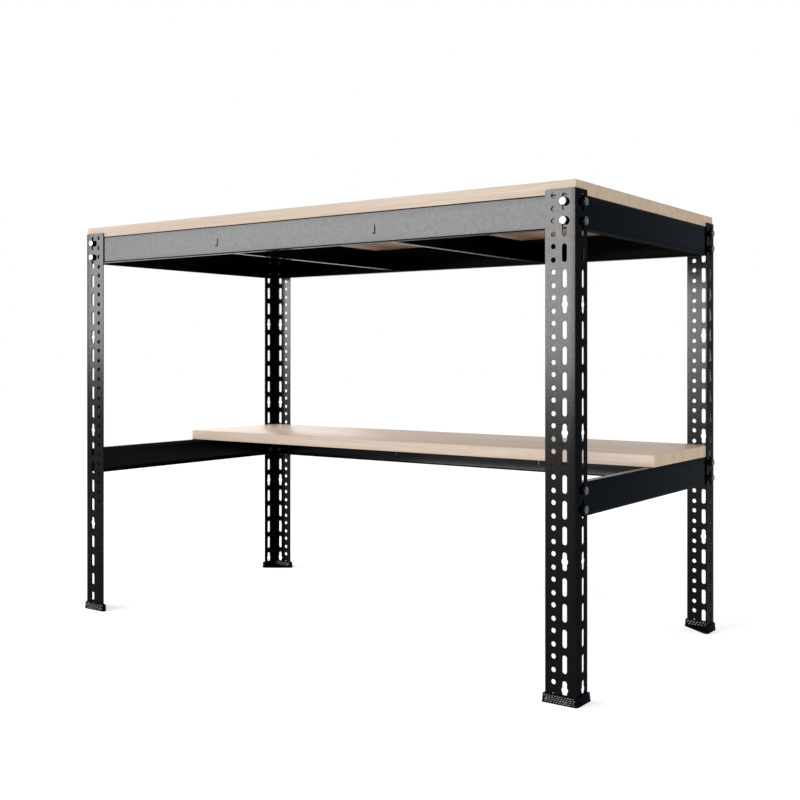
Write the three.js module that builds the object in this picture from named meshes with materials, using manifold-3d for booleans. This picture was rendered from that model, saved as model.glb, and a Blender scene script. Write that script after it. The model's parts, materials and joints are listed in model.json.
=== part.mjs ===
import * as THREE from 'three';
import { mergeVertices } from 'three/addons/utils/BufferGeometryUtils.js';
import Module from 'manifold-3d';

const wasm = await Module();
wasm.setup();

// Assembly table in millimetres, +Z up, front towards -Y, origin on the floor under the middle

// Frame, measured over the heels of the four uprights
const frameWidth = 1202;
const frameDepth = 620;

// Uprights, unequal angles with a wide flange to the front or rear and an end flange to the side
const wideFlange = 56;
const endFlange = 40;
const uprightSheet = 2;
const uprightBend = 2.3;
const slotCount = 20;
const slotPitch = 41.3;
const slotLength = 30;
const keyholeDiameter = 12;
const keyholeEvery = 5;
const slotColumn = 21;
const holeColumn = 41;
const holeOffset = 10.9;
const endColumnUpright = 25;
const endColumnTurned = 19;

// Fasteners
const boltDiameter = 8;
const boltClearance = 1;
const hexAcrossFlats = 13;
const headHeight = 6.3;
const nutHeight = 6.5;
const boltEndLength = 1;
const boltEndDiameter = 7;

// Rails, channels with the web outside and both lips turned inwards
const railHeight = 56;
const railLip = 15;
const railSheet = 1.5;
const railBend = 1.7;
const railEndGap = 0.8;
const railLipGap = 1;
const shelfSlotIndex = 12;

// Hooked slots in the long rails and the cross-bars that hang in them
const barSpacing = 396;
const barSheet = 1.5;
const barLip = 15;
const barBend = 2;
const barTopGap = 9.3;
const barBottomGap = 2.2;
const tongueHeight = 15.4;
const tongueRise = 16.2;
const tongueFoot = 4;
const tongueRecess = 0.7;
const tongueClearance = 0.2;

// Boards
const topThickness = 22;
const shelfThickness = 22;
const shelfDepth = 300;
const boardEdge = 0.4;
const boardEndClearance = 0.3;
const boardSideClearance = 0.5;

// Feet, moulded shoes that grip both flanges
const footHeight = 15;
const footSole = 3;
const footOuterWall = 3.8;
const footHeel = 4;
const footInnerWall = 2.6;
const footDraft = 1;
const footClearance = 0.2;

// Fits
const seatGap = 0.2;
const cutMargin = 1;
const bendSegments = 2;
const roundSides = 6;
const boltHoleSides = 8;
const mergeDistance = 1e-4;

// Sizes that follow from the ones above
const uprightLength = slotCount * slotPitch;
const uprightTop = footSole + uprightLength;
const slotWidth = boltDiameter + boltClearance;
const slotEnd = (slotLength - slotWidth) / 2;
const railSeat = uprightSheet + seatGap;
const boltGrip = railSeat + railSheet;
const railInset = boltGrip + railEndGap;
const slotHeight = (index) => uprightTop - slotPitch * (index + 0.5);

const topBolts = [slotHeight(0), slotHeight(1) + slotEnd];
const shelfBolts = [slotHeight(shelfSlotIndex - 1) - slotEnd, slotHeight(shelfSlotIndex)];
const middle = ([upper, lower]) => (upper + lower) / 2;
const boltSpacing = topBolts[0] - topBolts[1];
const topRailLevel = middle(topBolts);
const shelfRailLevel = middle(shelfBolts);
const topBoardLevel = topRailLevel + railHeight / 2;
const shelfBoardLevel = shelfRailLevel + railHeight / 2;

// Frames that lay a flat outline on the front plane, the side plane or the floor
const onFront = new THREE.Matrix4().makeBasis(
  new THREE.Vector3(1, 0, 0),
  new THREE.Vector3(0, 0, 1),
  new THREE.Vector3(0, -1, 0),
);
const onSide = new THREE.Matrix4().makeBasis(
  new THREE.Vector3(0, 1, 0),
  new THREE.Vector3(0, 0, 1),
  new THREE.Vector3(1, 0, 0),
);
const onFloor = new THREE.Matrix4();

function extrude(points, length, plane) {
  const shape = new THREE.Shape(points.map(([x, y]) => new THREE.Vector2(x, y)));
  const geometry = new THREE.ExtrudeGeometry(shape, { depth: length, bevelEnabled: false });
  return geometry.applyMatrix4(plane);
}

function toSolid(geometry) {
  const bare = geometry.clone();
  bare.deleteAttribute('normal');
  bare.deleteAttribute('uv');
  const merged = mergeVertices(bare, mergeDistance);
  return new wasm.Manifold(new wasm.Mesh({
    numProp: 3,
    vertProperties: new Float32Array(merged.attributes.position.array),
    triVerts: new Uint32Array(merged.index.array),
  }));
}

function toGeometry(solid) {
  const mesh = solid.getMesh();
  const shared = new THREE.BufferGeometry();
  shared.setAttribute('position', new THREE.BufferAttribute(new Float32Array(mesh.vertProperties), 3));
  shared.setIndex(new THREE.BufferAttribute(new Uint32Array(mesh.triVerts), 1));
  const flat = shared.toNonIndexed();
  flat.computeVertexNormals();
  return flat;
}

function joined(solids) {
  return solids.reduce((whole, solid) => whole.add(solid));
}

function block(size, centre) {
  const geometry = new THREE.BoxGeometry(...size);
  return toSolid(geometry.translate(...centre));
}

function arc(centre, radius, fromDegrees, toDegrees, segments) {
  return Array.from({ length: segments + 1 }, (unused, step) => {
    const angle = THREE.MathUtils.degToRad(fromDegrees + ((toDegrees - fromDegrees) * step) / segments);
    return [centre[0] + radius * Math.cos(angle), centre[1] + radius * Math.sin(angle)];
  });
}

function circleOutline(centre, diameter, sides) {
  return arc(centre, diameter / 2, 0, 360, sides).slice(0, sides);
}

function slotOutline([x, y]) {
  const radius = slotWidth / 2;
  return [
    ...arc([x, y + slotEnd], radius, 0, 180, roundSides / 2),
    ...arc([x, y - slotEnd], radius, 180, 360, roundSides / 2),
  ];
}

// Section of an angle with its heel on the origin, the wide flange along the first axis
function angleSection(wide, narrow, sheet, bend) {
  return [
    [wide, 0],
    ...arc([bend, bend], bend, 270, 180, bendSegments),
    [0, narrow],
    [sheet, narrow],
    ...arc([bend, bend], bend - sheet, 180, 270, bendSegments),
    [wide, sheet],
  ];
}

// Section of a channel with the web's outer face on the second axis and the lips along the first
function channelSection(height, lip, sheet, bend) {
  const half = height / 2;
  const low = [bend, bend - half];
  const high = [bend, half - bend];
  return [
    [lip, -half],
    ...arc(low, bend, 270, 180, bendSegments),
    ...arc(high, bend, 180, 90, bendSegments),
    [lip, half],
    [lip, half - sheet],
    ...arc(high, bend - sheet, 90, 180, bendSegments),
    ...arc(low, bend - sheet, 180, 270, bendSegments),
    [lip, sheet - half],
  ];
}

// Upright with its heel on the origin, wide flange towards -X and end flange towards +Y
function uprightGeometry(endColumn) {
  const section = angleSection(wideFlange, endFlange, uprightSheet, uprightBend);
  const mirrored = section.map(([x, y]) => [-x, y]);
  const body = toSolid(extrude(mirrored, uprightLength, onFloor));
  const cutDepth = uprightSheet + 2 * cutMargin;
  const cutters = [];
  const cutWide = (outline) => {
    cutters.push(toSolid(extrude(outline, cutDepth, onFront).translate(0, uprightSheet + cutMargin, 0)));
  };
  const cutEnd = (outline) => {
    cutters.push(toSolid(extrude(outline, cutDepth, onSide).translate(-uprightSheet - cutMargin, 0, 0)));
  };
  for (let index = 0; index < slotCount; index += 1) {
    const level = uprightLength - slotPitch * (index + 0.5);
    cutWide(slotOutline([-slotColumn, level]));
    cutEnd(slotOutline([endColumn, level]));
    for (const side of [-1, 1]) {
      cutWide(circleOutline([-holeColumn, level + side * holeOffset], slotWidth, roundSides));
    }
    if (index % keyholeEvery === keyholeEvery - 1) {
      cutWide(circleOutline([-slotColumn, level], keyholeDiameter, roundSides));
      cutEnd(circleOutline([endColumn, level], keyholeDiameter, roundSides));
    }
  }
  return toGeometry(body.subtract(joined(cutters)));
}

// Channel along X with its web facing -Y and its section centred on the origin's height
function channelSolid(length, height, lip, sheet, bend) {
  const section = channelSection(height, lip, sheet, bend);
  return toSolid(extrude(section, length, onSide).translate(-length / 2, 0, 0));
}

function boltHoles(positions) {
  const cutDepth = railSheet + 2 * cutMargin;
  return joined(positions.flatMap((x) => [-1, 1].map((side) => {
    const outline = circleOutline([x, (side * boltSpacing) / 2], slotWidth, boltHoleSides);
    return toSolid(extrude(outline, cutDepth, onFront).translate(0, railSheet + cutMargin, 0));
  })));
}

// Slot for a cross-bar's tongue, its foot towards -X for side -1, towards +X for side 1, none for 0
function hookedSlot(x, side) {
  const width = barSheet + 2 * tongueClearance;
  const height = tongueHeight + 2 * tongueClearance;
  const bottom = tongueRise - railHeight / 2 - tongueClearance;
  const cutDepth = railSheet + 2 * cutMargin;
  const stroke = block([width, cutDepth, height], [x, railSheet / 2, bottom + height / 2]);
  const footLength = Math.abs(side) * tongueFoot + width;
  const footCentre = x + (side * tongueFoot) / 2;
  const foot = block([footLength, cutDepth, width], [footCentre, railSheet / 2, bottom + width / 2]);
  return stroke.add(foot);
}

function longRailGeometry(side) {
  const length = frameWidth - 2 * railInset;
  const holeAt = frameWidth / 2 - slotColumn;
  return toGeometry(channelSolid(length, railHeight, railLip, railSheet, railBend)
    .subtract(boltHoles([-holeAt, holeAt]))
    .subtract(hookedSlot(-barSpacing / 2, side))
    .subtract(hookedSlot(barSpacing / 2, side)));
}

// The lips stop short of the long rails' lips, so only the web runs into the corner
function endRailGeometry() {
  const length = frameDepth - 2 * railInset;
  const lipEnd = frameDepth / 2 - railSeat - railLip - railLipGap;
  const relief = length / 2 - lipEnd + cutMargin;
  const reliefs = [-1, 1].map((side) => block(
    [relief, railLip, railHeight + 2 * cutMargin],
    [side * (lipEnd + relief / 2), railSheet + railLip / 2, 0],
  ));
  const corners = [-1, 1].flatMap((side) => [-1, 1].map((level) => block(
    [relief, railBend + 2 * cutMargin, railBend + cutMargin],
    [side * (lipEnd + relief / 2), railBend / 2, (level * (railHeight - railBend + cutMargin)) / 2],
  )));
  return toGeometry(channelSolid(length, railHeight, railLip, railSheet, railBend)
    .subtract(joined([...reliefs, ...corners]))
    .subtract(boltHoles([endColumnUpright - frameDepth / 2, frameDepth / 2 - endColumnTurned])));
}

// Cross-bar along Y with its web on the middle plane, lips towards +X and a footed tongue at each end
function crossBarGeometry() {
  const webFace = frameDepth / 2 - railSeat;
  const bodyEnd = webFace - railBend - tongueClearance;
  const tongueEnd = webFace - tongueRecess;
  const tongueLength = tongueEnd - bodyEnd;
  const height = railHeight - 2 * railSheet - barBottomGap - barTopGap;
  const bottom = tongueRise - railSheet - barBottomGap - height / 2;
  const channel = channelSection(height, barLip, barSheet, barBend);
  const centred = channel.map(([x, z]) => [x - barSheet / 2, z]);
  const body = toSolid(extrude(centred, 2 * bodyEnd, onFront).translate(0, bodyEnd, 0));
  const tongue = block([barSheet, 2 * tongueEnd, tongueHeight], [0, 0, bottom + tongueHeight / 2]);
  const feet = [-1, 1].map((end) => block(
    [tongueFoot + barSheet, tongueLength, barSheet],
    [-tongueFoot / 2, end * (bodyEnd + tongueLength / 2), bottom + barSheet / 2],
  ));
  return toGeometry(joined([body, tongue, ...feet]));
}

function boardGeometry(width, depth, thickness) {
  const across = width / 2 - boardEdge;
  const along = depth / 2 - boardEdge;
  const corners = [[-across, -along], [across, -along], [across, along], [-across, along]];
  const outline = new THREE.Shape(corners.map(([x, y]) => new THREE.Vector2(x, y)));
  const geometry = new THREE.ExtrudeGeometry(outline, {
    depth: thickness - 2 * boardEdge,
    bevelThickness: boardEdge,
    bevelSize: boardEdge,
    bevelSegments: 1,
  });
  return toGeometry(toSolid(geometry.translate(0, 0, boardEdge)));
}

// Foot round the heel of an upright, hand +1 with the wide flange towards +X, -1 towards -X
function footGeometry(hand) {
  const innerFace = uprightSheet + footInnerWall;
  const outline = (outer, innerCorner) => [
    ...arc([footHeel - outer, footHeel - outer], footHeel, 180, 270, bendSegments),
    [wideFlange + outer, -outer],
    [wideFlange + outer, innerFace],
    ...innerCorner,
    [innerFace, endFlange + outer],
    [-outer, endFlange + outer],
  ].map(([x, y]) => [hand * x, y]);
  const collar = outline(footOuterWall, [[innerFace, innerFace]]);
  const rim = outline(footOuterWall - footDraft, [[innerFace, innerFace]]);
  const walls = extrude(collar, footHeight, onFloor);
  const corners = walls.attributes.position;
  for (let index = 0; index < corners.count; index += 1) {
    if (corners.getZ(index) > footHeight / 2) {
      const near = collar.findIndex(([x, y]) => (
        Math.hypot(x - corners.getX(index), y - corners.getY(index)) < footClearance
      ));
      corners.setXY(index, ...rim[near]);
    }
  }
  const sole = extrude(outline(footOuterWall, []), footSole, onFloor);
  const pocket = angleSection(
    wideFlange + 2 * footClearance,
    endFlange + 2 * footClearance,
    uprightSheet + 2 * footClearance,
    uprightBend + footClearance,
  ).map(([x, y]) => [hand * (x - footClearance), y - footClearance]);
  const cut = extrude(pocket, footHeight, onFloor).translate(0, 0, footSole);
  return toGeometry(toSolid(walls).add(toSolid(sole)).subtract(toSolid(cut)));
}

// Hexagon bolt along Y with its nut drawn up, head towards -Y and the outer face at the origin
function fastenerGeometry() {
  const hexRadius = hexAcrossFlats / Math.sqrt(3);
  const nutTop = boltGrip + nutHeight;
  const profile = [
    [0, -headHeight],
    [hexRadius, -headHeight],
    [hexRadius, 0],
    [boltDiameter / 2, 0],
    [boltDiameter / 2, boltGrip],
    [hexRadius, boltGrip],
    [hexRadius, nutTop],
    [boltEndDiameter / 2, nutTop],
    [boltEndDiameter / 2, nutTop + boltEndLength],
    [0, nutTop + boltEndLength],
  ].map(([radius, y]) => new THREE.Vector2(radius, y));
  const flatsLevel = Math.PI / roundSides;
  return toGeometry(toSolid(new THREE.LatheGeometry(profile, roundSides, flatsLevel)));
}

function finish(color, roughness, metalness) {
  return () => new THREE.MeshStandardMaterial({ color, roughness, metalness });
}
const blackSteel = finish(0x23272b, 0.55, 0.4);
const zincSteel = finish(0xb9bcc0, 0.35, 0.9);
const paleBoard = finish(0xd8c8b9, 0.6, 0);
const blackPlastic = finish(0x15171a, 0.7, 0);

const table = new THREE.Group();
table.name = 'assembly_table';

function place(name, geometry, material, position, rotation = [0, 0, 0]) {
  const mesh = new THREE.Mesh(geometry, material);
  mesh.name = name;
  mesh.position.set(...position);
  mesh.rotation.set(...rotation);
  table.add(mesh);
}

const quarter = Math.PI / 2;
const right = frameWidth / 2;
const rear = frameDepth / 2;

// Uprights and feet, the front left and rear right uprights turned end for end
const uprightStanding = uprightGeometry(endColumnUpright);
const uprightTurned = uprightGeometry(endColumnTurned);
place('upright_front_right', uprightStanding, blackSteel(), [right, -rear, footSole]);
place('upright_rear_left', uprightStanding, blackSteel(), [-right, rear, footSole], [0, 0, Math.PI]);
place('upright_front_left', uprightTurned, blackSteel(), [-right, -rear, uprightTop], [0, Math.PI, 0]);
place('upright_rear_right', uprightTurned, blackSteel(), [right, rear, uprightTop], [Math.PI, 0, 0]);

const footRightHand = footGeometry(-1);
const footLeftHand = footGeometry(1);
place('foot_front_right', footRightHand, blackPlastic(), [right, -rear, 0]);
place('foot_rear_left', footRightHand, blackPlastic(), [-right, rear, 0], [0, 0, Math.PI]);
place('foot_front_left', footLeftHand, blackPlastic(), [-right, -rear, 0]);
place('foot_rear_right', footLeftHand, blackPlastic(), [right, rear, 0], [0, 0, Math.PI]);

// Rails of the top frame and of the shelf
const frontRail = longRailGeometry(-1);
const rearRail = longRailGeometry(1);
const shelfRail = longRailGeometry(0);
const endRail = endRailGeometry();
const frontFace = -rear + railSeat;
const rightFace = right - railSeat;
place('top_rail_front', frontRail, blackSteel(), [0, frontFace, topRailLevel]);
place('top_rail_rear', rearRail, blackSteel(), [0, -frontFace, topRailLevel], [0, 0, Math.PI]);
place('top_rail_right', endRail, blackSteel(), [rightFace, 0, topRailLevel], [0, 0, quarter]);
place('top_rail_left', endRail, blackSteel(), [-rightFace, 0, topRailLevel], [0, 0, -quarter]);
place('shelf_rail_rear', shelfRail, blackSteel(), [0, -frontFace, shelfRailLevel], [0, 0, Math.PI]);
place('shelf_rail_right', endRail, blackSteel(), [rightFace, 0, shelfRailLevel], [0, 0, quarter]);
place('shelf_rail_left', endRail, blackSteel(), [-rightFace, 0, shelfRailLevel], [0, 0, -quarter]);

// Cross-bars under the worktop
const crossBar = crossBarGeometry();
const barLevel = topRailLevel + (barBottomGap - barTopGap) / 2;
place('cross_bar_left', crossBar, blackSteel(), [-barSpacing / 2, 0, barLevel]);
place('cross_bar_right', crossBar, blackSteel(), [barSpacing / 2, 0, barLevel]);

// Boards
const boardWidth = frameWidth - 2 * (uprightSheet + boardEndClearance);
const topDepth = frameDepth - 2 * (uprightSheet + boardSideClearance);
const worktop = boardGeometry(boardWidth, topDepth, topThickness);
const shelf = boardGeometry(boardWidth, shelfDepth, shelfThickness);
const shelfMiddle = (topDepth - shelfDepth) / 2;
place('worktop_board', worktop, paleBoard(), [0, 0, topBoardLevel]);
place('shelf_board', shelf, paleBoard(), [0, shelfMiddle, shelfBoardLevel]);

// Bolts with their nuts, a pair at each rail end
const fastener = fastenerGeometry();
const boltLevels = { top: topBolts, shelf: shelfBolts };
function placePair(tier, corner, position, turn) {
  ['upper', 'lower'].forEach((row, index) => {
    const level = boltLevels[tier][index];
    place(`bolt_${tier}_${corner}_${row}`, fastener, zincSteel(), [...position, level], [0, 0, turn]);
  });
}
for (const side of [-1, 1]) {
  const hand = side < 0 ? 'left' : 'right';
  const across = side * (right - slotColumn);
  placePair('top', `front_${hand}`, [across, -rear], 0);
  placePair('top', `rear_${hand}`, [across, rear], Math.PI);
  placePair('shelf', `rear_${hand}`, [across, rear], Math.PI);
  const frontColumn = side > 0 ? endColumnUpright : endColumnTurned;
  const rearColumn = side > 0 ? endColumnTurned : endColumnUpright;
  for (const tier of ['top', 'shelf']) {
    placePair(tier, `${hand}_end_front`, [side * right, frontColumn - rear], side * quarter);
    placePair(tier, `${hand}_end_rear`, [side * right, rear - rearColumn], side * quarter);
  }
}

export default table;
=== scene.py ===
import json
import math
import random

import bmesh
import bpy
from mathutils import Matrix, Vector
from mathutils.geometry import delaunay_2d_cdt

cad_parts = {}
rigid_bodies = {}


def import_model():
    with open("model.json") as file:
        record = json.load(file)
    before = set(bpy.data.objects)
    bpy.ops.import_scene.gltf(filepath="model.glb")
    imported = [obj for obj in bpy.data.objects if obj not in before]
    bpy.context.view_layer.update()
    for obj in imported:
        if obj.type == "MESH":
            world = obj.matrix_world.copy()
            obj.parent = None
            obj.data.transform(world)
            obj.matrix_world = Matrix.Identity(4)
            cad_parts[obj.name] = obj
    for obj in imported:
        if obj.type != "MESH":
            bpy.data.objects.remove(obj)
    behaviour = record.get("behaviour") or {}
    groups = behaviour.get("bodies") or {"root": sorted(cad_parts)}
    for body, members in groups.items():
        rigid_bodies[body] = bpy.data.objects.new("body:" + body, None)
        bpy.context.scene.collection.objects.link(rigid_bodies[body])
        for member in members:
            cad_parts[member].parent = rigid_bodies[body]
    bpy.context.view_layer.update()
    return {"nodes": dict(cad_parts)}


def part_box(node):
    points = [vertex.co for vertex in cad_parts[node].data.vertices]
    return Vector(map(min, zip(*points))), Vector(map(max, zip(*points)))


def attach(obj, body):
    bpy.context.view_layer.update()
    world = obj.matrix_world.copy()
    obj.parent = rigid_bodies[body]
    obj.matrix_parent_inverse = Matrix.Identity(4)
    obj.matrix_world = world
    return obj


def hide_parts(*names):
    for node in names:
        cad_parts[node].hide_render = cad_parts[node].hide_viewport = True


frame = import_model()
mm = 0.001
print("frame loaded,", len(frame["nodes"]), "nodes")

# overall table, in millimetres as on the drawing
table = {
    "width": 1202,
    "depth": 620,
    "uprightBottom": 3,
    "uprightLength": 826,
    "topRailLevel": 792.95,
    "shelfRailLevel": 328.15,
    "railSeat": 2.2,
}
halfWidth = table["width"] / 2
halfDepth = table["depth"] / 2
uprightTop = table["uprightBottom"] + table["uprightLength"]


# materials

def newMaterial(name):
    material = bpy.data.materials.new(name)
    material.use_nodes = True
    tree = material.node_tree
    tree.nodes.clear()
    shader = tree.nodes.new("ShaderNodeBsdfPrincipled")
    output = tree.nodes.new("ShaderNodeOutputMaterial")
    tree.links.new(shader.outputs["BSDF"], output.inputs["Surface"])
    return material, tree, shader


def addNode(tree, kind, settings=None, **inputs):
    node = tree.nodes.new(kind)
    for key, value in (settings or {}).items():
        setattr(node, key, value)
    for key, value in inputs.items():
        socket = node.inputs[key.replace("_", " ")]
        if isinstance(value, bpy.types.NodeSocket):
            tree.links.new(value, socket)
        else:
            socket.default_value = value
    return node


def noiseAt(tree, vector, scale, detail=4.0, roughness=0.55):
    return addNode(tree, "ShaderNodeTexNoise", Vector=vector, Scale=scale, Detail=detail,
                   Roughness=roughness).outputs["Fac"]


def ramp(tree, factor, stops):
    node = addNode(tree, "ShaderNodeValToRGB", Fac=factor)
    elements = node.color_ramp.elements
    while len(elements) < len(stops):
        elements.new(0.5)
    for element, (position, colour) in zip(elements, stops):
        element.position = position
        element.color = (*colour, 1)
    return node.outputs["Color"]


def spread(tree, factor, low, high):
    return addNode(tree, "ShaderNodeMapRange", Value=factor, From_Min=0.3, From_Max=0.7,
                   To_Min=low, To_Max=high).outputs["Result"]


def bump(tree, height, strength, distance):
    return addNode(tree, "ShaderNodeBump", Height=height, Strength=strength,
                   Distance=distance).outputs["Normal"]


def objectSpace(tree):
    return tree.nodes.new("ShaderNodeTexCoord").outputs["Object"]


def blend(tree, share, first, second):
    node = addNode(tree, "ShaderNodeMix", {"data_type": "FLOAT"})
    node.inputs[0].default_value = share
    tree.links.new(first, node.inputs[2])
    tree.links.new(second, node.inputs[3])
    return node.outputs[0]


# multiplies a colour by a tint where share is 1
def tinted(tree, colour, share, tint):
    node = addNode(tree, "ShaderNodeMix", {"data_type": "RGBA", "blend_type": "MULTIPLY"})
    tree.links.new(share, node.inputs["Factor"])
    tree.links.new(colour, node.inputs[6])
    node.inputs[7].default_value = (*tint, 1)
    return node.outputs[2]


def twoTone(look):
    return [(look["stops"][0], look["dark"]), (look["stops"][1], look["light"])]


coat = {
    "dark": (0.0057, 0.0057, 0.0057),
    "light": (0.0075, 0.0075, 0.0075),
    "rough": (0.155, 0.195),
    "edgeTint": (0.5, 0.512, 0.527, 1),
    "grain": 1500.0,
    "speckle": 330.0,
    "speckleShare": 0.85,
    "stops": (0.35, 0.65),
    "bump": (0.12, 0.0002),
}


def makeBlackCoat():
    material, tree, shader = newMaterial("blackCoatedSteel")
    where = objectSpace(tree)
    grain = noiseAt(tree, where, coat["grain"], 2.0)
    speckle = noiseAt(tree, where, coat["speckle"], 3.0)
    mixed = blend(tree, coat["speckleShare"], grain, speckle)
    tree.links.new(ramp(tree, mixed, twoTone(coat)), shader.inputs["Base Color"])
    tree.links.new(spread(tree, grain, *coat["rough"]), shader.inputs["Roughness"])
    tree.links.new(bump(tree, grain, *coat["bump"]), shader.inputs["Normal"])
    shader.inputs["Metallic"].default_value = 1.0
    shader.inputs["Specular Tint"].default_value = coat["edgeTint"]
    return material


zinc = {
    "dark": (0.03, 0.032, 0.037),
    "light": (0.085, 0.09, 0.1),
    "rough": (0.24, 0.36),
    "crystal": 900.0,
    "patch": 260.0,
    "patchShare": 0.7,
    "stops": (0.3, 0.7),
    "bump": (0.08, 0.0001),
}


def makeZinc():
    material, tree, shader = newMaterial("zincPlate")
    where = objectSpace(tree)
    crystal = addNode(tree, "ShaderNodeTexVoronoi", Vector=where, Scale=zinc["crystal"]).outputs["Color"]
    patch = noiseAt(tree, where, zinc["patch"])
    mixed = blend(tree, zinc["patchShare"], crystal, patch)
    tree.links.new(ramp(tree, mixed, twoTone(zinc)), shader.inputs["Base Color"])
    tree.links.new(spread(tree, patch, *zinc["rough"]), shader.inputs["Roughness"])
    tree.links.new(bump(tree, patch, *zinc["bump"]), shader.inputs["Normal"])
    shader.inputs["Metallic"].default_value = 1.0
    return material


board = {
    "dark": (0.44, 0.347, 0.276),
    "middle": (0.55, 0.45, 0.369),
    "light": (0.64, 0.545, 0.466),
    "stops": (0.33, 0.5, 0.66),
    "rough": (0.38, 0.48),
    "streakScale": (5.0, 420.0, 420.0),
    "bandScale": (1.3, 46.0, 46.0),
    "fleckScale": (30.0, 900.0, 900.0),
    "bandShare": 0.45,
    "fleckShare": 0.25,
    "bump": (0.15, 0.0004),
    "faceTurn": (0.4, 0.6),
    "edgeGloss": 0.1,
    "faceGloss": 0.3,
    # faces turned down are tinted redder and darker: a tone of their own plus painted shade
    "undersideToneAndShade": (0.86, 0.66, 0.56),
    "endGrain": (1.04, 0.99, 0.86),
    # faces turned up are tinted yellower and lighter: a tone plus painted light
    "topToneAndLight": (1.1, 1.02, 0.92),
}


# how squarely a face looks along an axis, from 0 to 1
def facing(tree, amount, sign=1, low=0.0, high=1.0):
    begin, end = board["faceTurn"]
    return addNode(tree, "ShaderNodeMapRange", Value=amount, From_Min=begin * sign, From_Max=end * sign,
                   To_Min=low, To_Max=high).outputs["Result"]


def makeBoardWood():
    material, tree, shader = newMaterial("paleBoard")
    where = objectSpace(tree)

    def grainNoise(scale, detail, roughness):
        drawn = addNode(tree, "ShaderNodeMapping", Vector=where, Scale=board[scale]).outputs["Vector"]
        return noiseAt(tree, drawn, 1.0, detail, roughness)

    streak = grainNoise("streakScale", 6.0, 0.6)
    banded = blend(tree, board["bandShare"], streak, grainNoise("bandScale", 4.0, 0.5))
    flecked = blend(tree, board["fleckShare"], banded, grainNoise("fleckScale", 2.0, 0.5))
    tones = (board["dark"], board["middle"], board["light"])
    colour = ramp(tree, flecked, list(zip(board["stops"], tones)))
    surface = tree.nodes.new("ShaderNodeNewGeometry")
    normal = addNode(tree, "ShaderNodeSeparateXYZ", Vector=surface.outputs["True Normal"]).outputs
    sideways = addNode(tree, "ShaderNodeMath", {"operation": "ABSOLUTE"})
    tree.links.new(normal["X"], sideways.inputs[0])
    # painted shade on the underside, with its redder tone
    colour = tinted(tree, colour, facing(tree, normal["Z"], -1), board["undersideToneAndShade"])
    colour = tinted(tree, colour, facing(tree, sideways.outputs[0]), board["endGrain"])
    # painted light on the top faces, with their yellower tone
    colour = tinted(tree, colour, facing(tree, normal["Z"]), board["topToneAndLight"])
    gloss = facing(tree, normal["Z"], 1, board["edgeGloss"], board["faceGloss"])
    tree.links.new(colour, shader.inputs["Base Color"])
    tree.links.new(spread(tree, streak, *board["rough"]), shader.inputs["Roughness"])
    tree.links.new(bump(tree, flecked, *board["bump"]), shader.inputs["Normal"])
    tree.links.new(gloss, shader.inputs["Specular IOR Level"])
    return material


matt = {
    "pebble": 1100.0,
    "stops": (0.3, 0.7),
    "bump": (0.2, 0.0002),
}
plastic = {
    "dark": (0.0014, 0.0022, 0.0044),
    "light": (0.0030, 0.0044, 0.0082),
    "rough": (0.42, 0.56),
    "haze": 60.0,
    "specular": 0.006,
}
# painted highlight: the knurl ridges on the feet are pale grey, standing in for the light that the ridges
# of the black plastic catch
ridgeHighlight = {
    "dark": (0.05, 0.05, 0.052),
    "light": (0.4, 0.4, 0.4),
    "rough": (0.5, 0.65),
    "haze": 420.0,
    "specular": 0.05,
}
# painted shade: a near-black finish with no reflection for the downward faces of the end rails, standing
# in for the shade under their lips
shadedLip = {
    "dark": (0.014, 0.014, 0.015),
    "light": (0.026, 0.026, 0.028),
    "rough": (0.55, 0.7),
    "haze": 300.0,
    "specular": 0.0,
}
# painted shade: the tongue ends that fill the rails' hook slots are near black and reflect almost
# nothing, standing in for the shade inside the slots
tongueShade = {
    "dark": (0.003, 0.003, 0.003),
    "light": (0.008, 0.008, 0.008),
    "rough": (0.6, 0.75),
    "haze": 300.0,
    "specular": 0.006,
}


def makeMatt(name, look):
    material, tree, shader = newMaterial(name)
    where = objectSpace(tree)
    pebble = noiseAt(tree, where, matt["pebble"], 3.0)
    haze = noiseAt(tree, where, look["haze"])
    tree.links.new(ramp(tree, haze, twoTone(matt | look)), shader.inputs["Base Color"])
    tree.links.new(spread(tree, haze, *look["rough"]), shader.inputs["Roughness"])
    tree.links.new(bump(tree, pebble, *matt["bump"]), shader.inputs["Normal"])
    shader.inputs["Specular IOR Level"].default_value = look["specular"]
    return material


blackCoat = makeBlackCoat()
zincPlate = makeZinc()
boardWood = makeBoardWood()
footPlastic = makeMatt("mouldedBlackPlastic", plastic)
ridgeHighlightPaint = makeMatt("paintedHighlightRidges", ridgeHighlight)
tongueShadePaint = makeMatt("paintedShadeTongueEnds", tongueShade)
lipShadePaint = makeMatt("paintedShadeUnderEndRails", shadedLip)
print("materials made")


# sheet metal: a punched flat blank, bent along its lines

def makePath(start, heading, parts, steps=8):
    spans, bendLines = [], []
    (x, y), turn, along = start, heading, 0.0
    for kind, size in parts:
        if kind == "straight":
            spans.append((along, along + size, kind, (x, y), turn, size))
            x, y = x + size * math.cos(turn), y + size * math.sin(turn)
            along += size
        else:
            length = size * math.pi / 2
            centre = (x - size * math.sin(turn), y + size * math.cos(turn))
            spans.append((along, along + length, kind, centre, turn, size))
            bendLines += [along + length * step / steps for step in range(steps + 1)]
            turn += math.pi / 2
            x, y = centre[0] + size * math.sin(turn), centre[1] - size * math.cos(turn)
            along += length

    def place(s, out):
        span = next((item for item in spans if s <= item[1] + 1e-6), spans[-1])
        begin, _, kind, (px, py), angle, size = span
        if kind == "straight":
            px, py = px + (s - begin) * math.cos(angle), py + (s - begin) * math.sin(angle)
            return px + out * math.sin(angle), py - out * math.cos(angle)
        angle += (s - begin) / size
        return px + (size + out) * math.sin(angle), py - (size + out) * math.cos(angle)

    return place, bendLines, along


# a contour is a function of how far it grows, so its edge can be broken

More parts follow.
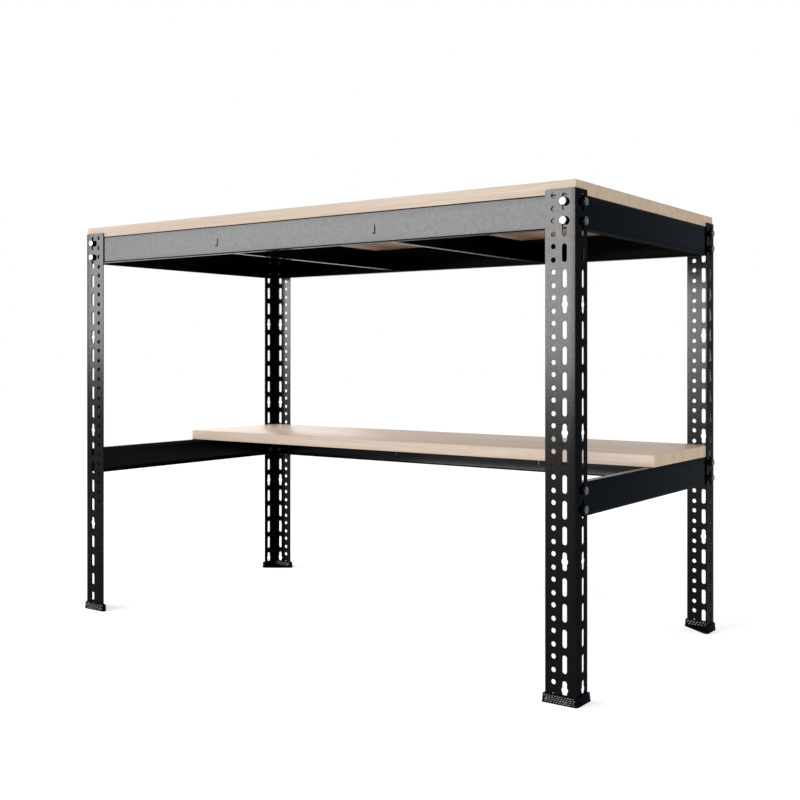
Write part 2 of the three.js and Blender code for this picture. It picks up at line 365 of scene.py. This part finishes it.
def squareContour(points):
    def contour(grow):
        ring = []
        for index, point in enumerate(points):
            before = Vector(point) - Vector(points[index - 1])
            after = Vector(points[(index + 1) % len(points)]) - Vector(point)
            outs = [Vector((edge.y, -edge.x)).normalized() for edge in (before, after)]
            shift = outs[0] if (outs[0] - outs[1]).length < 1e-6 else outs[0] + outs[1]
            ring.append(Vector(point) + shift * grow)
        return ring
    return contour


def arcPoints(centre, radius, begin, end, count):
    return [Vector((centre[0] + radius * math.cos(math.radians(begin + (end - begin) * step / count)),
                    centre[1] + radius * math.sin(math.radians(begin + (end - begin) * step / count))))
            for step in range(count + 1)]


def roundHole(centre, diameter, count=20):
    return lambda grow: arcPoints(centre, diameter / 2 + grow, 0, 360, count)[:-1]


def longSlot(centre, width, length, count=10):
    reach = (length - width) / 2

    def contour(grow):
        x, y = centre
        radius = width / 2 + grow
        return (arcPoints((x, y + reach), radius, 0, 180, count)
                + arcPoints((x, y - reach), radius, 180, 360, count))
    return contour


def keyhole(centre, width, length, eye, count=10):
    reach = (length - width) / 2

    def contour(grow):
        x, y = centre
        radius, big = width / 2 + grow, eye / 2 + grow
        lean = math.degrees(math.acos(radius / big))
        return (arcPoints((x, y + reach), radius, 0, 180, count)
                + arcPoints((x, y), big, 180 - lean, 180 + lean, count)
                + arcPoints((x, y - reach), radius, 180, 360, count)
                + arcPoints((x, y), big, -lean, lean, count))
    return contour


def insideRing(point, ring):
    inside = False
    for index, end in enumerate(ring):
        begin = ring[index - 1]
        if (end.y > point.y) != (begin.y > point.y):
            cross = end.x + (point.y - end.y) * (begin.x - end.x) / (begin.y - end.y)
            inside = inside != (point.x < cross)
    return inside


def withBendPoints(corners, bendLines):
    points = []
    for index, corner in enumerate(corners):
        points.append(corner)
        nextCorner = corners[(index + 1) % len(corners)]
        if abs(corner[1] - nextCorner[1]) < 1e-6:
            low, high = sorted((corner[0], nextCorner[0]))
            between = [line for line in bendLines if low + 1e-6 < line < high - 1e-6]
            if nextCorner[0] < corner[0]:
                between.reverse()
            points += [(line, corner[1]) for line in between]
    return points


def pressedSheet(name, path, corners, holes, sheet, lay, edge=0.25):
    place, bendLines, _ = path
    outer = squareContour(withBendPoints(corners, bendLines))
    shapes = [(outer, -edge)] + [(hole, edge) for hole in holes]
    faceRings = [shape(grow) for shape, grow in shapes]
    wallRings = [shape(0) for shape, _ in shapes]
    flat, owner, loops = [], [], []
    for number, ring in enumerate(faceRings):
        first = len(flat)
        flat += ring
        owner += [number] * len(ring)
        loops.append(list(range(first, len(flat))))
    edges = [(loop[index - 1], loop[index]) for loop in loops for index in range(len(loop))]
    for line in bendLines:
        ends = sorted((flat[index].y, index) for index in loops[0]
                      if abs(flat[index].x - line) < 1e-5)
        if len(ends) > 1:
            edges.append((ends[0][1], ends[-1][1]))
    _, _, triangles, origins, _, _ = delaunay_2d_cdt(flat, edges, [], 0, 1e-6)
    kept = []
    for triangle in triangles:
        members = [origins[index][0] for index in triangle]
        owners = {owner[index] for index in members}
        if len(owners) == 1:
            number = owners.pop()
            middle = sum((flat[index] for index in members), Vector((0, 0))) / 3
            if insideRing(middle, faceRings[number]) != (number == 0):
                continue
        kept.append(members)
    walls = [point for ring in wallRings for point in ring]
    half = sheet / 2
    layers = [(flat, half), (walls, half - edge), (walls, edge - half), (flat, -half)]
    shell = bmesh.new()
    rows = []
    for points, out in layers:
        spots = [Vector(lay(*place(point.x, out), point.y)) for point in points]
        rows.append([shell.verts.new(spot * mm) for spot in spots])
    for members in kept:
        shell.faces.new([rows[0][index] for index in members])
        shell.faces.new([rows[3][index] for index in reversed(members)])
    for loop in loops:
        for upper, lower in zip(rows, rows[1:]):
            for index in range(len(loop)):
                a, b = loop[index - 1], loop[index]
                shell.faces.new((upper[b], upper[a], lower[a], lower[b]))
    bmesh.ops.recalc_face_normals(shell, faces=shell.faces)
    return finishMesh(name, shell)


def finishMesh(name, shell, sharp=32):
    mesh = bpy.data.meshes.new(name)
    shell.to_mesh(mesh)
    shell.free()
    mesh.polygons.foreach_set("use_smooth", [True] * len(mesh.polygons))
    mesh.set_sharp_from_angle(angle=math.radians(sharp))
    return mesh


def addBlock(shell, low, high, edge):
    middle = (Vector(low) + Vector(high)) / 2 * mm
    size = [abs(b - a) * mm for a, b in zip(low, high)]
    where = Matrix.Translation(middle) @ Matrix.Diagonal((*size, 1))
    corners = bmesh.ops.create_cube(shell, size=1, matrix=where)["verts"]
    sides = list({item for corner in corners for item in corner.link_edges})
    bmesh.ops.bevel(shell, geom=sides, offset=edge * mm, segments=1, profile=0.5, affect="EDGES")


def setPiece(name, mesh, finish, node, transform=None):
    mesh = mesh.copy()
    mesh.name = name
    if transform is not None:
        mesh.transform(transform)
    for material in finish if isinstance(finish, tuple) else (finish,):
        mesh.materials.append(material)
    piece = bpy.data.objects.new(name, mesh)
    bpy.context.scene.collection.objects.link(piece)
    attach(piece, "root")
    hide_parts(node)


def moved(x, y, z, turn=0.0, tumble=None):
    turned = Matrix.Rotation(math.radians(turn), 4, "Z")
    if tumble:
        turned = turned @ Matrix.Rotation(math.pi, 4, tumble)
    return Matrix.Translation(Vector((x, y, z)) * mm) @ turned


# uprights

upright = {
    "wide": 56,
    "end": 40,
    "sheet": 2,
    "bend": 2.3,
    "pitch": 41.3,
    "count": 20,
    "slotWidth": 8.4,
    "slotLength": 29.6,
    "slotColumn": 21,
    "holeColumn": 41,
    "holeOffset": 10.9,
    "eye": 12.2,
    "eyeEvery": 5,
    "endColumn": {"standing": 25, "turned": 19},
}


def uprightMesh(kind):
    half, bend = upright["sheet"] / 2, upright["bend"]
    wide, end = upright["wide"], upright["end"]
    path = makePath((-wide, half), 0.0,
                    [("straight", wide - bend), ("bend", bend - half), ("straight", end - bend)])
    tall = table["uprightLength"]
    corners = [(0, 0), (path[2], 0), (path[2], tall), (0, tall)]
    endStart = wide - bend + (bend - half) * math.pi / 2 - bend
    slotAt = wide - upright["slotColumn"]
    holeAt = wide - upright["holeColumn"]
    endAt = endStart + upright["endColumn"][kind]
    slotSize = (upright["slotWidth"], upright["slotLength"])
    holes = []
    for index in range(upright["count"]):
        level = tall - upright["pitch"] * (index + 0.5)
        for column in (slotAt, endAt):
            if index % upright["eyeEvery"] == upright["eyeEvery"] - 1:
                holes.append(keyhole((column, level), *slotSize, upright["eye"]))
            else:
                holes.append(longSlot((column, level), *slotSize))
        for side in (-1, 1):
            holes.append(roundHole((holeAt, level + side * upright["holeOffset"]), upright["slotWidth"]))
    return pressedSheet("upright" + kind, path, corners, holes, upright["sheet"],
                        lambda u, v, l: (u, v, l))


standingUpright = uprightMesh("standing")
turnedUpright = uprightMesh("turned")
base = table["uprightBottom"]
setPiece("slotted_angle_front_right", standingUpright, blackCoat, "upright_front_right",
         moved(halfWidth, -halfDepth, base))
setPiece("slotted_angle_rear_left", standingUpright, blackCoat, "upright_rear_left",
         moved(-halfWidth, halfDepth, base, 180))
setPiece("slotted_angle_front_left", turnedUpright, blackCoat, "upright_front_left",
         moved(-halfWidth, -halfDepth, uprightTop, 0, "Y"))
setPiece("slotted_angle_rear_right", turnedUpright, blackCoat, "upright_rear_right",
         moved(halfWidth, halfDepth, uprightTop, 0, "X"))
print("uprights bent and punched")


# rails

rail = {
    "height": 56,
    "lip": 15,
    "sheet": 1.5,
    "bend": 2.2,
    "inset": 4.5,
    "lipGap": 1,
    "boltHole": 9,
    "boltSpacing": 30.8,
    "barSpacing": 396,
    "hookWidth": {"front": 2.3, "rear": 1.7, "plain": 0.9},
    "hookHeight": 15.8,
    "hookRise": 16.0,
    "hookFoot": 4,
    "paintedShadeBelow": -0.5,
}


def channelPath(height, lip, sheet, bend):
    half = sheet / 2
    return makePath((lip, height / 2 - half), math.pi,
                    [("straight", lip - bend), ("bend", bend - half), ("straight", height - 2 * bend),
                     ("bend", bend - half), ("straight", lip - bend)])


def onWeb(height, lip, sheet, bend, z):
    return lip - bend + (bend - sheet / 2) * math.pi / 2 + height / 2 - bend - z


railShape = (rail["height"], rail["lip"], rail["sheet"], rail["bend"])


def railBoltHoles(places):
    return [roundHole((onWeb(*railShape, side * rail["boltSpacing"] / 2), x), rail["boltHole"])
            for x in places for side in (-1, 1)]


def hookSlot(x, kind):
    width = rail["hookWidth"][kind]
    low = rail["hookRise"] - rail["height"] / 2
    high = low + rail["hookHeight"]
    near, far = x + width / 2, x - width / 2
    toe = far - rail["hookFoot"]
    outline = [(toe, low), (near, low), (near, high), (far, high), (far, low + width), (toe, low + width)]
    if kind == "plain":
        outline = [(far, low), (near, low), (near, high), (far, high)]
    if kind == "rear":
        outline = [(2 * x - along, z) for along, z in reversed(outline)]
    return squareContour([(onWeb(*railShape, z), along) for along, z in outline])


def longRailMesh(name, kind):
    path = channelPath(*railShape)
    reach = halfWidth - rail["inset"]
    corners = [(0, -reach), (path[2], -reach), (path[2], reach), (0, reach)]
    boltAt = halfWidth - upright["slotColumn"]
    holes = railBoltHoles((-boltAt, boltAt))
    holes += [hookSlot(side * rail["barSpacing"] / 2, kind) for side in (-1, 1)]
    return pressedSheet(name, path, corners, holes, rail["sheet"], lambda u, v, l: (l, u, v))


def endRailMesh():
    path = channelPath(*railShape)
    reach = halfDepth - rail["inset"]
    lipReach = halfDepth - table["railSeat"] - rail["lip"] - rail["lipGap"]
    webTop = onWeb(*railShape, rail["height"] / 2 - rail["bend"])
    webBottom = onWeb(*railShape, rail["bend"] - rail["height"] / 2)
    corners = [(0, -lipReach), (webTop, -lipReach), (webTop, -reach), (webBottom, -reach),
               (webBottom, -lipReach), (path[2], -lipReach), (path[2], lipReach), (webBottom, lipReach),
               (webBottom, reach), (webTop, reach), (webTop, lipReach), (0, lipReach)]
    columns = upright["endColumn"]
    holes = railBoltHoles((columns["standing"] - halfDepth, halfDepth - columns["turned"]))
    mesh = pressedSheet("endRail", path, corners, holes, rail["sheet"], lambda u, v, l: (l, u, v))
    # faces turned down get the painted shade finish
    for face in mesh.polygons:
        if face.normal.z < rail["paintedShadeBelow"]:
            face.material_index = 1
    return mesh


frontRail = longRailMesh("frontRail", "front")
rearRails = {
    "top": longRailMesh("topRearRail", "rear"),
    "shelf": longRailMesh("shelfRearRail", "plain"),
}
endRail = endRailMesh()
frontFace = table["railSeat"] - halfDepth
rightFace = halfWidth - table["railSeat"]
for tier, level in (("top", table["topRailLevel"]), ("shelf", table["shelfRailLevel"])):
    if tier == "top":
        setPiece("channel_top_front", frontRail, blackCoat, "top_rail_front",
                 moved(0, frontFace, level))
    setPiece(f"channel_{tier}_rear", rearRails[tier], blackCoat, f"{tier}_rail_rear",
             moved(0, -frontFace, level, 180))
    setPiece(f"channel_{tier}_right", endRail, (blackCoat, lipShadePaint), f"{tier}_rail_right",
             moved(rightFace, 0, level, 90))
    setPiece(f"channel_{tier}_left", endRail, (blackCoat, lipShadePaint), f"{tier}_rail_left",
             moved(-rightFace, 0, level, -90))
print("rails bent and punched")


# cross-bars

crossBar = {
    "height": 41.5,
    "lip": 15,
    "sheet": 1.5,
    "bend": 2,
    "endGap": 1.9,
    "tongueHeight": 15.4,
    "tongueRise": 12.5,
    "tongueFoot": 4,
    "tongueRecess": 0.6,
    "footSink": 0.4,
    "footInset": 0.05,
    "footEdge": 0.25,
    "tongueShadeFrom": 0.1,
    "level": 789.4,
}


def crossBarMesh():
    shape = (crossBar["height"], crossBar["lip"], crossBar["sheet"], crossBar["bend"])
    path = channelPath(*shape)
    face = halfDepth - table["railSeat"]
    reach, tip = face - crossBar["endGap"], face - crossBar["tongueRecess"]
    low = crossBar["tongueRise"] - crossBar["height"] / 2
    upper = onWeb(*shape, low + crossBar["tongueHeight"])
    lower = onWeb(*shape, low)
    corners = [(0, -reach), (upper, -reach), (upper, -tip), (lower, -tip), (lower, -reach),
               (path[2], -reach), (path[2], reach), (lower, reach), (lower, tip), (upper, tip),
               (upper, reach), (0, reach)]
    sheet = crossBar["sheet"]
    mesh = pressedSheet("crossBar", path, corners, [], sheet, lambda u, v, l: (u - sheet / 2, l, v))
    shell = bmesh.new()
    shell.from_mesh(mesh)
    for end in (-1, 1):
        begin = end * (reach - crossBar["footSink"])
        addBlock(shell, (-sheet / 2 - crossBar["tongueFoot"], begin, low),
                 (sheet / 2 - crossBar["footInset"], end * tip, low + sheet), crossBar["footEdge"])
    # the tongue ends beyond the bar's reach get the painted shade finish
    for face in shell.faces:
        if abs(face.calc_center_median().y) > (reach + crossBar["tongueShadeFrom"]) * mm:
            face.material_index = 1
    return finishMesh("crossBar", shell)


barMesh = crossBarMesh()
for side, hand in ((-1, "left"), (1, "right")):
    setPiece(f"hooked_bar_{hand}", barMesh, (blackCoat, tongueShadePaint), f"cross_bar_{hand}",
             moved(side * rail["barSpacing"] / 2, 0, crossBar["level"]))
print("cross-bars hung")


# boards and feet follow the drawing's solids, with broken edges

dressing = {
    "crease": 30,
    "heelTurn": (0.4, 1.2),
    "heelUpright": 0.8,
    "heelSegments": 4,
}


def dressedCopy(node, edge, segments, heel=0):
    def rounded(edges, radius, steps):
        bmesh.ops.bevel(shell, geom=edges, offset=radius * mm, segments=steps, profile=0.5,
                        affect="EDGES", clamp_overlap=True)

    shell = bmesh.new()
    shell.from_mesh(frame["nodes"][node].data)
    bmesh.ops.remove_doubles(shell, verts=shell.verts, dist=1e-5)
    bmesh.ops.dissolve_limit(shell, angle_limit=math.radians(1), verts=shell.verts, edges=shell.edges)
    if heel:
        least, most = dressing["heelTurn"]
        turns = []
        for item in shell.edges:
            run = item.verts[1].co - item.verts[0].co
            standing = abs(run.z) > dressing["heelUpright"] * run.length
            if standing and least < item.calc_face_angle(0) < most:
                turns.append(item)
        rounded(turns, heel, dressing["heelSegments"])
    sharp = math.radians(dressing["crease"])
    creases = [item for item in shell.edges if item.is_manifold and item.calc_face_angle(0) > sharp]
    rounded(creases, edge, segments)
    return shell


boardEdges = {"radius": 0.15, "segments": 1}
for node, name in (("worktop_board", "worktop"), ("shelf_board", "half_shelf")):
    shell = dressedCopy(node, boardEdges["radius"], boardEdges["segments"])
    setPiece(name, finishMesh(name, shell), boardWood, node)
print("boards laid")

foot = {
    "edge": 0.4,
    "segments": 2,
    "outerWall": 3.8,
    "draft": 1.0,
    "height": 15,
    "innerFace": 4.6,
    "heel": 1.3,
    "ribRows": {"outer": 4, "inner": 2},
    "ribColumns": {"outer": 12, "inner": 7},
    "ribHeight": 0.5,
    "ribWidth": {"outer": 1.55, "inner": 2.1},
    "ribLength": {"outer": (2.3, 4.3), "inner": (5.2, 6.4)},
    "ribStray": {"outer": 1.1, "inner": 0.2},
    "ribSlants": {"outer": (-30, -30, -30, -30, 45), "inner": (-40, -36)},
    "ribWobble": {"outer": 14, "inner": 5},
    "ribSpan": {"outer": (1.5, 56), "inner": (9, 55)},
    "ribFloor": {"outer": 1.4, "inner": 4.4},
    "ribCeiling": 14,
    "ribSink": 0.2,
    "ribSlope": (0.4, 0.35),
    "seed": 7,
}


def addRib(shell, middle, along, out, length, width):
    side = along.cross(out)
    endSlope, sideSlope = foot["ribSlope"]
    lowRing, highRing = [], []
    for u, v in ((-1, -1), (1, -1), (1, 1), (-1, 1)):
        spot = middle + along * (u * length / 2) + side * (v * width / 2)
        lowRing.append(shell.verts.new((spot - out * foot["ribSink"]) * mm))
        spot = middle + along * (u * (length / 2 - endSlope)) + side * (v * (width / 2 - sideSlope))
        highRing.append(shell.verts.new((spot + out * foot["ribHeight"]) * mm))
    faces = [shell.faces.new(highRing), shell.faces.new(list(reversed(lowRing)))]
    for index in range(4):
        corners = (lowRing[index - 1], lowRing[index], highRing[index], highRing[index - 1])
        faces.append(shell.faces.new(corners))
    # the rib faces get the painted highlight finish
    for face in faces:
        face.material_index = 1


# short slanted ribs over both broad walls of a shoe
def addKnurl(shell, corner, hand, front, chance):
    lean = math.atan(foot["draft"] / foot["height"])
    mirror = Vector((hand, front, 1))
    for face in ("outer", "inner"):
        begin, end = foot["ribSpan"][face]
        low = foot["ribFloor"][face]
        rows, columns = foot["ribRows"][face], foot["ribColumns"][face]
        stray, wobble = foot["ribStray"][face], foot["ribWobble"][face]
        out, up = Vector((0, 1, 0)), Vector((0, 0, 1))
        if face == "outer":
            out = Vector((0, -math.cos(lean), math.sin(lean)))
            up = Vector((0, -out.y * math.tan(lean), 1))
        up = (up - out * up.dot(out)).normalized()
        for row in range(rows):
            for column in range(columns):
                x = begin + (end - begin) * (column + 0.25 + 0.5 * (row % 2)) / columns
                x += chance.uniform(-stray, stray)
                z = low + (row + 0.5) * (foot["ribCeiling"] - low) / rows
                drop = foot["draft"] * z / foot["height"]
                y = drop - foot["outerWall"] if face == "outer" else foot["innerFace"]
                slant = chance.choice(foot["ribSlants"][face]) + chance.uniform(-wobble, wobble)
                angle = math.radians(slant)
                along = (Vector((1, 0, 0)) * math.cos(angle) + up * math.sin(angle)).normalized()
                spot = Vector((x, y, z)) * mirror + corner
                addRib(shell, spot, along * mirror, out * mirror,
                       chance.uniform(*foot["ribLength"][face]), foot["ribWidth"][face])


for end, front in (("front", 1), ("rear", -1)):
    for side, hand in (("left", 1), ("right", -1)):
        node = f"foot_{end}_{side}"
        shell = dressedCopy(node, foot["edge"], foot["segments"], foot["heel"])
        corner = Vector((-hand * halfWidth, -front * halfDepth, 0))
        addKnurl(shell, corner, hand, front, random.Random(foot["seed"]))
        bmesh.ops.recalc_face_normals(shell, faces=shell.faces)
        setPiece(f"shoe_{end}_{side}", finishMesh(node, shell), (footPlastic, ridgeHighlightPaint), node)
print("feet set under the uprights")


# bolts with nuts

bolt = {
    "acrossFlats": 13,
    "headHeight": 6.3,
    "nutHeight": 6.5,
    "grip": 3.7,
    "shank": 8,
    "endLength": 1.0,
    "endBreak": 0.9,
    "crown": 0.965,
    "crownInner": (0.5, 0.96),
    "crownRise": 0.05,
    "chamfer": 48,
    "seat": 0.5,
    "countersink": (0.3, 0.5),
    "threadDepth": 0.2,
    "perSide": 8,
}


def boltMesh():
    count = 6 * bolt["perSide"]
    flat = bolt["acrossFlats"] / 2
    crown = flat * bolt["crown"]
    slope = math.tan(math.radians(bolt["chamfer"]))
    turns = [2 * math.pi * step / count for step in range(count)]
    hexes = [flat / math.cos(turn % (math.pi / 3) - math.pi / 6) for turn in turns]
    drops = [(radius - crown) * slope for radius in hexes]
    head, grip, rise, seat = bolt["headHeight"], bolt["grip"], bolt["crownRise"], bolt["seat"]
    nut = grip + bolt["nutHeight"]
    shank = bolt["shank"] / 2
    thread = shank - bolt["threadDepth"]
    inner, outer = bolt["crownInner"]
    mouth, sink = bolt["countersink"]

    def circle(radius, y):
        return [(radius, y)] * count

    rings = [
        circle(crown * inner, -head),
        circle(crown * outer, -head),
        circle(crown, -head + rise),
        [(radius, drop - head + rise) for radius, drop in zip(hexes, drops)],
        [(radius, -seat) for radius in hexes],
        circle(crown, -seat),
        circle(crown, 0),
        circle(shank, 0),
        circle(shank, grip),
        circle(crown, grip),
        [(radius, grip + drop) for radius, drop in zip(hexes, drops)],
        [(radius, nut - drop) for radius, drop in zip(hexes, drops)],
        circle(crown, nut),
        circle(shank + mouth, nut),
        circle(thread, nut - sink),
        circle(thread, nut + bolt["endLength"] / 2),
        circle(shank - bolt["endBreak"], nut + bolt["endLength"]),
    ]
    shell = bmesh.new()
    rows = []
    for ring in rings:
        row = []
        for turn, (radius, y) in zip(turns, ring):
            spot = Vector((radius * math.cos(turn), y, radius * math.sin(turn)))
            row.append(shell.verts.new(spot * mm))
        rows.append(row)
    for upper, lower in zip(rows, rows[1:]):
        for index in range(count):
            shell.faces.new((upper[index - 1], upper[index], lower[index], lower[index - 1]))
    shell.faces.new(rows[0])
    shell.faces.new(list(reversed(rows[-1])))
    bmesh.ops.recalc_face_normals(shell, faces=shell.faces)
    return finishMesh("hexBolt", shell, sharp=25)


hexBolt = boltMesh()


# each drawn bolt's box says which face it is on and where
def placeBolt(node):
    low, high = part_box(node)
    middle = (Vector(low) + Vector(high)) / 2 / mm
    if "_end_" in node:
        side = 1 if "_right_" in node else -1
        return moved(side * halfWidth, middle.y, middle.z, side * 90)
    side = -1 if "_front_" in node else 1
    return moved(middle.x, side * halfDepth, middle.z, 0 if side < 0 else 180)


for node in sorted(frame["nodes"]):
    if node.startswith("bolt_"):
        setPiece("hex_" + node, hexBolt, zincPlate, node, placeBolt(node))
print("bolts tightened")


# floor, light and camera

studio = {
    "floorSize": 30.0,
    "floorColour": (0.8, 0.8, 0.8, 1),
    "floorGlow": 0.45,
    "skyFill": 0.72,
    "keyPower": 96.0,
    "keyPlace": (-1.9, -3.3, 2.6),
    "keySize": 3.4,
    "sidePower": 33.0,
    "sidePlace": (-2.7, -0.8, 1.05),
    "sideSize": 1.4,
    "fillPower": 1.3,
    "fillPlace": (1.4, -1.9, 0.3),
    "fillSize": 0.5,
    "fillSpread": 50,
    "fillAim": (0.55, 0.0, 0.37),
    "glowPower": 26.0,
    "glowPlace": (-4.1, 3.0, 1.25),
    "glowSize": (2.8, 1.1),
    "panelPower": 4177.0,
    "panelRoll": 1.5,
    "panelPlace": (-7.175, -8.0, 1.858),
    "panelSize": (9.65, 2.83),
    "aim": (0.0, 0.0, 0.45),
    "clothCorners": ((-2.93, 3.2), (-1.5, 3.2), (-1.5, 14.8), (-8.34, 14.8)),
    "clothLevel": 0.004,
    "clothDark": (0.012, 0.012, 0.012),
    "clothLight": (0.03, 0.03, 0.03),
    "clothStops": (0.3, 0.7),
    "clothWeave": 40.0,
    "clothRough": 0.9,
}


def backdropShare(tree):
    rays = tree.nodes.new("ShaderNodeLightPath")
    first = addNode(tree, "ShaderNodeMath", {"operation": "MAXIMUM"})
    tree.links.new(rays.outputs["Is Camera Ray"], first.inputs[0])
    tree.links.new(rays.outputs["Is Glossy Ray"], first.inputs[1])
    second = addNode(tree, "ShaderNodeMath", {"operation": "MAXIMUM"})
    tree.links.new(first.outputs[0], second.inputs[0])
    tree.links.new(rays.outputs["Is Transmission Ray"], second.inputs[1])
    return second.outputs[0]


def makeFloor():
    size = studio["floorSize"] / 2
    mesh = bpy.data.meshes.new("studioFloor")
    corners = [(-size, -size, 0), (size, -size, 0), (size, size, 0), (-size, size, 0)]
    mesh.from_pydata(corners, [], [(0, 1, 2, 3)])
    floor = bpy.data.objects.new("studio_floor", mesh)
    bpy.context.scene.collection.objects.link(floor)
    material = bpy.data.materials.new("paleFloor")
    material.use_nodes = True
    tree = material.node_tree
    tree.nodes.clear()
    paint = addNode(tree, "ShaderNodeBsdfDiffuse", Color=studio["floorColour"])
    glow = addNode(tree, "ShaderNodeEmission", Color=(1, 1, 1, 1), Strength=studio["floorGlow"])
    lit = addNode(tree, "ShaderNodeAddShader")
    tree.links.new(paint.outputs[0], lit.inputs[0])
    tree.links.new(glow.outputs[0], lit.inputs[1])
    chosen = addNode(tree, "ShaderNodeMixShader")
    tree.links.new(backdropShare(tree), chosen.inputs[0])
    tree.links.new(paint.outputs[0], chosen.inputs[1])
    tree.links.new(lit.outputs[0], chosen.inputs[2])
    output = tree.nodes.new("ShaderNodeOutputMaterial")
    tree.links.new(chosen.outputs[0], output.inputs["Surface"])
    mesh.materials.append(material)


# a dark cloth on the floor behind the table, seen only in reflections
def makeCloth():
    mesh = bpy.data.meshes.new("studioCloth")
    level = studio["clothLevel"]
    mesh.from_pydata([(x, y, level) for x, y in studio["clothCorners"]], [], [(0, 1, 2, 3)])
    cloth = bpy.data.objects.new("studio_cloth", mesh)
    bpy.context.scene.collection.objects.link(cloth)
    material, tree, shader = newMaterial("blackStudioCloth")
    weave = noiseAt(tree, objectSpace(tree), studio["clothWeave"], 3.0)
    tones = zip(studio["clothStops"], (studio["clothDark"], studio["clothLight"]))
    tree.links.new(ramp(tree, weave, list(tones)), shader.inputs["Base Color"])
    shader.inputs["Roughness"].default_value = studio["clothRough"]
    shader.inputs["Specular IOR Level"].default_value = 0.0
    mesh.materials.append(material)
    cloth.visible_camera = False
    cloth.visible_diffuse = False
    cloth.visible_shadow = False


def makeSky():
    world = bpy.data.worlds.new("studioSky")
    bpy.context.scene.world = world
    world.use_nodes = True
    tree = world.node_tree
    tree.nodes.clear()
    fill = addNode(tree, "ShaderNodeBackground", Color=(1, 1, 1, 1), Strength=studio["skyFill"])
    white = addNode(tree, "ShaderNodeBackground", Color=(1, 1, 1, 1), Strength=1.0)
    chosen = addNode(tree, "ShaderNodeMixShader")
    tree.links.new(backdropShare(tree), chosen.inputs[0])
    tree.links.new(fill.outputs[0], chosen.inputs[1])
    tree.links.new(white.outputs[0], chosen.inputs[2])
    output = tree.nodes.new("ShaderNodeOutputWorld")
    tree.links.new(chosen.outputs[0], output.inputs["Surface"])


def makeLamp(name, power, place, width, height, aim):
    light = bpy.data.lights.new(name, "AREA")
    light.shape = "RECTANGLE"
    light.size = width
    light.size_y = height
    light.energy = power
    lamp = bpy.data.objects.new(name, light)
    bpy.context.scene.collection.objects.link(lamp)
    lamp.location = place
    lamp.rotation_euler = (Vector(aim) - Vector(place)).to_track_quat("-Z", "Y").to_euler()
    return lamp


makeFloor()
makeCloth()
makeSky()
makeLamp("keyLamp", studio["keyPower"], studio["keyPlace"], studio["keySize"], studio["keySize"],
         studio["aim"])
side = makeLamp("sideLamp", studio["sidePower"], studio["sidePlace"], studio["sideSize"],
                studio["sideSize"], studio["aim"])
side.visible_glossy = False
fill = makeLamp("shelfFill", studio["fillPower"], studio["fillPlace"], studio["fillSize"],
                studio["fillSize"], studio["fillAim"])
fill.data.spread = math.radians(studio["fillSpread"])
fill.visible_glossy = False
glow = makeLamp("shelfGlow", studio["glowPower"], studio["glowPlace"], *studio["glowSize"],
                studio["aim"])
glow.visible_diffuse = False  # only seen as a sheen on the shelf
panel = makeLamp("shinePanel", studio["panelPower"], studio["panelPlace"], *studio["panelSize"],
                 (studio["panelPlace"][0], 0.0, studio["panelPlace"][2]))
panel.rotation_euler.rotate(Matrix.Rotation(math.radians(studio["panelRoll"]), 3, "Y"))
panel.visible_diffuse = False  # only seen as a sheen in the coat
steelwork = bpy.data.collections.new("steelwork")
for piece in bpy.context.scene.objects:
    finishes = piece.data.materials if piece.type == "MESH" else ()
    if finishes and finishes[0] in (blackCoat, zincPlate):
        steelwork.objects.link(piece)
panel.light_linking.receiver_collection = steelwork
bpy.context.scene.view_settings.view_transform = "Standard"

view = {
    "lens": 50.0,
    "sensor": 36.0,
    "place": (1.4035, -1.9108, 0.5611),
    "turn": 35.64,
    "shiftUp": -0.0558,
}


def makeCamera():
    camera = bpy.data.objects.new("tableCamera", bpy.data.cameras.new("tableCamera"))
    bpy.context.scene.collection.objects.link(camera)
    camera.data.lens = view["lens"]
    camera.data.sensor_width = view["sensor"]
    camera.data.shift_y = view["shiftUp"]
    camera.location = view["place"]
    camera.rotation_euler = (math.radians(90), 0, math.radians(view["turn"]))
    bpy.context.scene.camera = camera


makeCamera()
print("studio ready")
